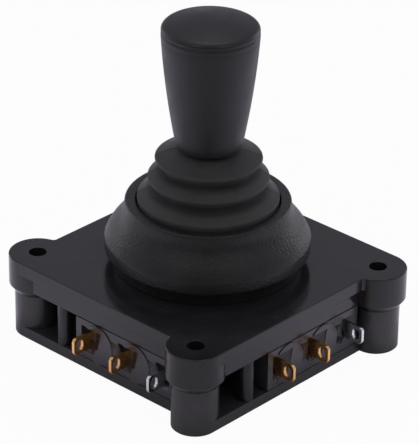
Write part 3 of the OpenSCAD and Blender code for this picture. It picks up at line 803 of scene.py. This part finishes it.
# %% Holes, ears and pegs
ABOVE, STEP_Z = PLATE_TOP + 0.07, PLATE_TOP - 1.6
DRUM_TOP = PLATE_TOP - 0.17
PEG_STAKE, PEG_HEAD = 0.45 * PEG_R - 0.02, 0.72 * PEG_R - 0.02
drill_section = [(0, EAR_END - 1), (SPIGOT_R, EAR_END - 1), (SPIGOT_R, STEP_Z), (HOLE_R, STEP_Z),
                 (HOLE_R, PLATE_TOP - 0.06), (HOLE_R + HOLE_ROUND, ABOVE), (0, ABOVE)]
ear_section = [(SPIGOT_R, EAR_END), (POST_R - 0.01, EAR_END), (POST_R + 0.05, EAR_END + 0.05),
               (EAR_R - 0.02, EAR_END + 1.13), (EAR_R, EAR_END + 1.19), (EAR_R, DRUM_TOP),
               (EAR_R - 0.3, DRUM_TOP), (EAR_R - 0.3, PLATE_UNDER + 0.2), (SPIGOT_R, PLATE_UNDER + 0.2)]
peg_section = [(0, 0.1), (PEG_HEAD, 0.1), (PEG_HEAD, 0.3 * LEDGE), (PEG_STAKE, 0.3 * LEDGE),
               (PEG_STAKE, LEDGE), (PEG_R, LEDGE), (PEG_R, PLATE_UNDER + SINK), (0, PLATE_UNDER + SINK)]
parts = [plate, skirt]
for k in range(4):
    x, y = quarter((POST_X, -HALF), k)
    drill = turned("drill", from_plate(drill_section), steps=64)
    shift(drill, x, y)
    cut(plate, drill, keep=True)
    cut(skirt, drill)
    ear = turned("ear", from_plate(ear_section))
    shift(ear, x, y)
    peg = turned("peg", from_plate(peg_section), steps=48)
    shift(peg, *quarter((-PEG_X, PEG_R - HALF), k))
    parts += [ear, peg]
print("corners drilled,", len(parts) - 2, "ears and pegs")

# %% Collar and register
bore = turned("bore", [(0, -3), (COLLAR_R + 0.6, -3), (COLLAR_R + 0.6, 1), (0, 1)], steps=96)
cut(plate, bore)
collar = turned("collar", [(COLLAR_R, -PLATE_T), (COLLAR_OUT, -PLATE_T), (COLLAR_OUT, COLLAR_RISE),
                (COLLAR_R, COLLAR_RISE)])
deselect()
bpy.ops.mesh.primitive_cylinder_add(vertices=32, radius=PIN_HOLE_R * MM, depth=20 * MM,
                                    rotation=(0, math.pi / 2, 0), location=(0, 0, PLATE_TOP * MM))
bpy.ops.object.transform_apply(location=True, rotation=True, scale=False)
cut(collar, bpy.context.object)
register = turned("register", [(12.05, -SINK), (12.9, -SINK), (12.9, 1.6), (12.05, 1.6)])
cover = joined("top_cover_moulding", parts + [collar, register])
weighted(cover, 50)
finish_as(cover, "cover_plastic")
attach(cover, "housing")
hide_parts("top_cover")
print("cover", len(cover.data.polygons), "faces,", round(cover.dimensions.x / MM, 2), "mm across")

# %% [markdown]
# ## Switch cases
# A switch stands on the housing's ledge, flush with it, and only a fine joint line tells the two
# apart. A dark line could be painted, but a painted line does not deepen with the view. Each case
# is copied from the working model, and its underside is raised by a hair, so that the
# joint is a real gap that stays dark.

# %% Switch cases
JOINT_GAP = 0.13 * MM


def copied(node_name, ending):
    """Copies a node of the working model, merges its loose triangles and leaves it all selected."""
    piece = bpy.data.objects.new(node_name + ending, frame["nodes"][node_name].data.copy())
    bpy.context.scene.collection.objects.link(piece)
    edit(piece)
    bpy.ops.mesh.select_all(action="SELECT")
    bpy.ops.mesh.remove_doubles(threshold=MERGE)
    return piece


cases = [node_name for node_name in frame["nodes"] if "switch_case_" in node_name]
for node_name in cases:
    case = copied(node_name, "_shell")
    bpy.ops.mesh.select_all(action="DESELECT")
    bpy.ops.object.mode_set(mode="OBJECT")
    foot = min(v.co.z for v in case.data.vertices)
    for v in case.data.vertices:
        v.select = v.co.z - foot < 0.01 * MM
    bpy.ops.object.mode_set(mode="EDIT")
    bpy.ops.transform.translate(value=(0, 0, JOINT_GAP))
    weighted(case, 12)
    finish_as(case, slot_of[node_name])
    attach(case, "housing")
    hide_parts(node_name)
print(len(cases), "switch cases with a joint line at the foot")

# %% [markdown]
# ## Solder tabs
# Each tab is stamped from strip, so its edges are a little round and catch the light. A tab is
# copied from the working model, its loose triangles are merged into whole faces, and all
# its edges are rounded.

# %% Solder tabs
TAB_ROUND = 0.06 * MM
tabs = [node_name for node_name in frame["nodes"] if "_terminal_" in node_name]
for node_name in tabs:
    tab = copied(node_name, "_strip")
    bpy.ops.mesh.select_mode(type="EDGE")
    bpy.ops.mesh.dissolve_limited(angle_limit=math.radians(0.4))
    bpy.ops.mesh.select_all(action="DESELECT")
    bpy.ops.mesh.edges_select_sharp(sharpness=math.radians(30))
    bpy.ops.mesh.bevel(offset=TAB_ROUND, segments=3, affect="EDGES", clamp_overlap=False,
                       miter_outer="ARC")
    weighted(tab, 50)
    finish_as(tab, slot_of[node_name])
    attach(tab, "housing")
    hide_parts(node_name)
print(len(tabs), "solder tabs rounded")
